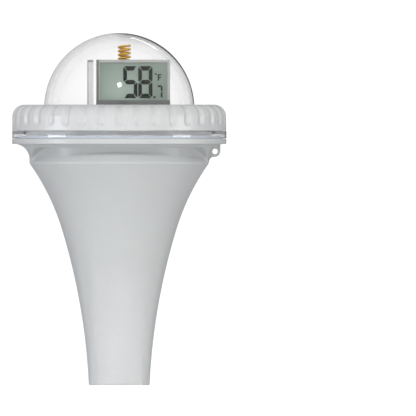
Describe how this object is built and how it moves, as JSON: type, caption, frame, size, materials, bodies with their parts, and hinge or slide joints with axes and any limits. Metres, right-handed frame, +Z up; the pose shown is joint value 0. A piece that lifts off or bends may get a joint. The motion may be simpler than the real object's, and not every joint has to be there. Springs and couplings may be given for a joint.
{
  "type": "floating pool thermometer",
  "caption": "Trumpet-shaped floating water thermometer with a screw-on clear dome, grip ring, display, batteries, ballast and tether eye.",
  "frame": {"origin": "middle of the flat base, on the surface it stands on", "axes": "+Z up the stem to the dome, the display faces -Y, the tether eye is on +X"},
  "size_m": [0.1072, 0.1072, 0.176],
  "materials": {
    "white_shell": "moulded, semi-gloss",
    "white_grip": "moulded, fine satin",
    "clear_plastic": "clear polished plastic",
    "inner_plastic": "moulded satin",
    "display_plastic": "moulded satin",
    "black_plastic": "moulded satin",
    "button_grey": "moulded satin",
    "seal_rubber": "moulded rubber",
    "black_cable": "extruded insulation",
    "stainless": "turned",
    "ballast_steel": "phosphated",
    "lcd": "grey-green liquid crystal cell",
    "lcd_ink": "dark display segments",
    "lcd_back": "reflector film",
    "grey_print": "printed surround",
    "board": "solder mask",
    "gilt_wire": "drawn wire",
    "nickel": "nickel plated spring strip",
    "cell_jacket": "printed metal jacket"
  },
  "bodies": {
    "float": {"body_shell": "white_shell", "tether_lug": "white_shell", "base_cap": "white_shell", "base_seal": "seal_rubber", "probe_tip": "stainless", "thermistor": "black_plastic", "sensor_lead": "black_cable", "ballast_weight": "ballast_steel", "ballast_retainer": "inner_plastic", "deck": "inner_plastic", "deck_screws": "stainless", "display_frame": "display_plastic", "lcd_glass": "lcd", "lcd_segments": "lcd_ink", "lcd_reflector": "lcd_back", "lcd_bezel": "grey_print", "zebra_strip": "seal_rubber", "main_board": "board", "board_parts": "black_plastic", "switch_bodies": "black_plastic", "antenna": "gilt_wire", "rear_cover": "display_plastic", "rear_cover_screws": "stainless", "battery_box": "inner_plastic", "box_screws": "stainless", "battery_left": "cell_jacket", "battery_right": "cell_jacket", "contact_spring": "nickel", "contact_plate": "nickel", "battery_leads": "black_cable", "door_pin": "stainless"},
    "cap_carrier": {"cap_gasket": "seal_rubber"},
    "cap": {"clear_dome": "clear_plastic", "grip_ring": "white_grip"},
    "unit_key": {"unit_button": "button_grey"},
    "sync_key": {"sync_button": "button_grey"},
    "channel_switch": {"channel_slider": "black_plastic"},
    "door": {"battery_door": "inner_plastic", "door_contact": "nickel"}
  },
  "joints": [
    {"name": "cap_rise", "type": "slide", "parent": "float", "child": "cap_carrier", "axis": [0, 0, 1], "range_m": [0, 0.00701]},
    {"name": "cap_turn", "type": "hinge", "parent": "cap_carrier", "child": "cap", "pos_m": [0, 0, 0.13], "axis": [0, 0, 1], "range_deg": [0, 630]},
    {"name": "unit_button_press", "type": "slide", "parent": "float", "child": "unit_key", "axis": [0, -1, 0], "range_m": [0, 0.0004], "stiffness_N_per_m": 800, "springref_m": -0.0004},
    {"name": "sync_button_press", "type": "slide", "parent": "float", "child": "sync_key", "axis": [0, -1, 0], "range_m": [0, 0.0004], "stiffness_N_per_m": 800, "springref_m": -0.0004},
    {"name": "channel_slide", "type": "slide", "parent": "float", "child": "channel_switch", "axis": [1, 0, 0], "range_m": [-0.002, 0.002]},
    {"name": "battery_door_swing", "type": "hinge", "parent": "float", "child": "door", "pos_m": [0, 0.0263, 0.133], "axis": [-1, 0, 0], "range_deg": [0, 90]}
  ],
  "couplings": [
    {"joint": "cap_rise", "follows": "cap_turn", "m_per_rad": 0.00063662}
  ]
}
